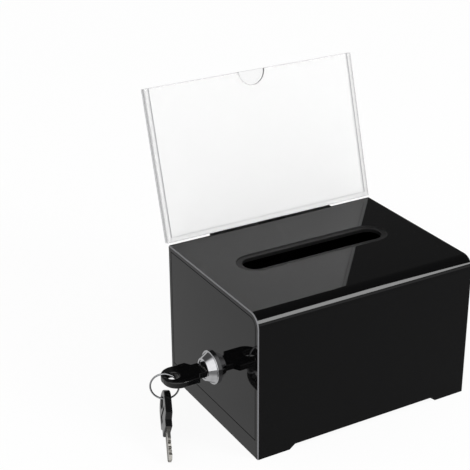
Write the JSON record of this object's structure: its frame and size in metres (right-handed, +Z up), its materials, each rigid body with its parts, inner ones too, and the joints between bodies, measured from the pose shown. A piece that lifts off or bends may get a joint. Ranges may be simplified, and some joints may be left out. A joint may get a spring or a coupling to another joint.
{
  "type": "ballot box",
  "caption": "Tabletop black acrylic ballot box with a slot in the bent top, a keyed cam lock on a hinged side door, keys on a wire ring and a lift-out clear sign holder.",
  "frame": {"origin": "standing surface, under the middle of the whole object with its keys and sign holder", "axes": "+X to the right seen from the front, +Y to the back, +Z up; the lock is on the -X side"},
  "size_m": [0.2082, 0.1472, 0.197],
  "materials": {
    "black_acrylic": "polished black acrylic sheet",
    "clear_acrylic": "clear acrylic sheet with polished edges",
    "lock_chrome": "bright chrome on die-cast zinc",
    "zinc_plated_steel": "bright zinc plating",
    "wafer_brass": "stamped brass",
    "spring_steel": "drawn spring wire",
    "key_plastic": "moulded black plastic",
    "key_nickel": "nickel plating",
    "ring_steel": "bright steel wire"
  },
  "bodies": {
    "box": {"front_top_panel": "black_acrylic", "back_panel": "black_acrylic", "right_side_panel": "black_acrylic", "floor_panel": "black_acrylic", "lower_left_rail": "black_acrylic", "strike_block": "black_acrylic", "sign_bracket": "black_acrylic"},
    "door": {"door_panel": "black_acrylic", "hinge_pins": "zinc_plated_steel", "lock_housing": "lock_chrome", "lock_nut": "zinc_plated_steel", "nut_washer": "zinc_plated_steel"},
    "plug": {"lock_plug": "lock_chrome", "wafer_tumblers": "wafer_brass", "wafer_springs": "spring_steel", "stop_washer": "zinc_plated_steel", "cam_arm": "zinc_plated_steel", "cam_spring_washer": "zinc_plated_steel", "cam_screw": "zinc_plated_steel"},
    "key": {"key_head": "key_plastic", "key_blade": "key_nickel"},
    "ring": {"key_ring": "ring_steel"},
    "spare_key": {"spare_key_head": "key_plastic", "spare_key_blade": "key_nickel"},
    "sign_holder": {"holder_rear_sheet": "clear_acrylic", "holder_front_sheet": "clear_acrylic", "holder_left_strip": "clear_acrylic", "holder_right_strip": "clear_acrylic", "holder_bottom_strip": "clear_acrylic"}
  },
  "joints": [
    {"name": "door_hinge", "type": "hinge", "parent": "box", "child": "door", "pos_m": [-0.05336, -0.0166, 0.088], "axis": [0, 1, 0], "range_deg": [0, 110]},
    {"name": "lock_turn", "type": "hinge", "parent": "door", "child": "plug", "pos_m": [-0.05486, -0.0166, 0.037], "axis": [-1, 0, 0], "range_deg": [0, 90]},
    {"name": "key_slide", "type": "slide", "parent": "plug", "child": "key", "axis": [-1, 0, 0], "range_m": [0, 0.024]},
    {"name": "ring_swing", "type": "hinge", "parent": "key", "child": "ring", "pos_m": [-0.08753, -0.0139, 0.0312], "axis": [-0.5, -0.866, 0], "range_deg": [-20, 20]},
    {"name": "spare_key_swing", "type": "hinge", "parent": "ring", "child": "spare_key", "pos_m": [-0.08753, -0.0139, 0.0222], "axis": [0.866, -0.5, 0], "range_deg": [-30, 70]},
    {"name": "holder_lift", "type": "slide", "parent": "box", "child": "sign_holder", "axis": [0, 0, 1], "range_m": [0, 0.03]}
  ]
}
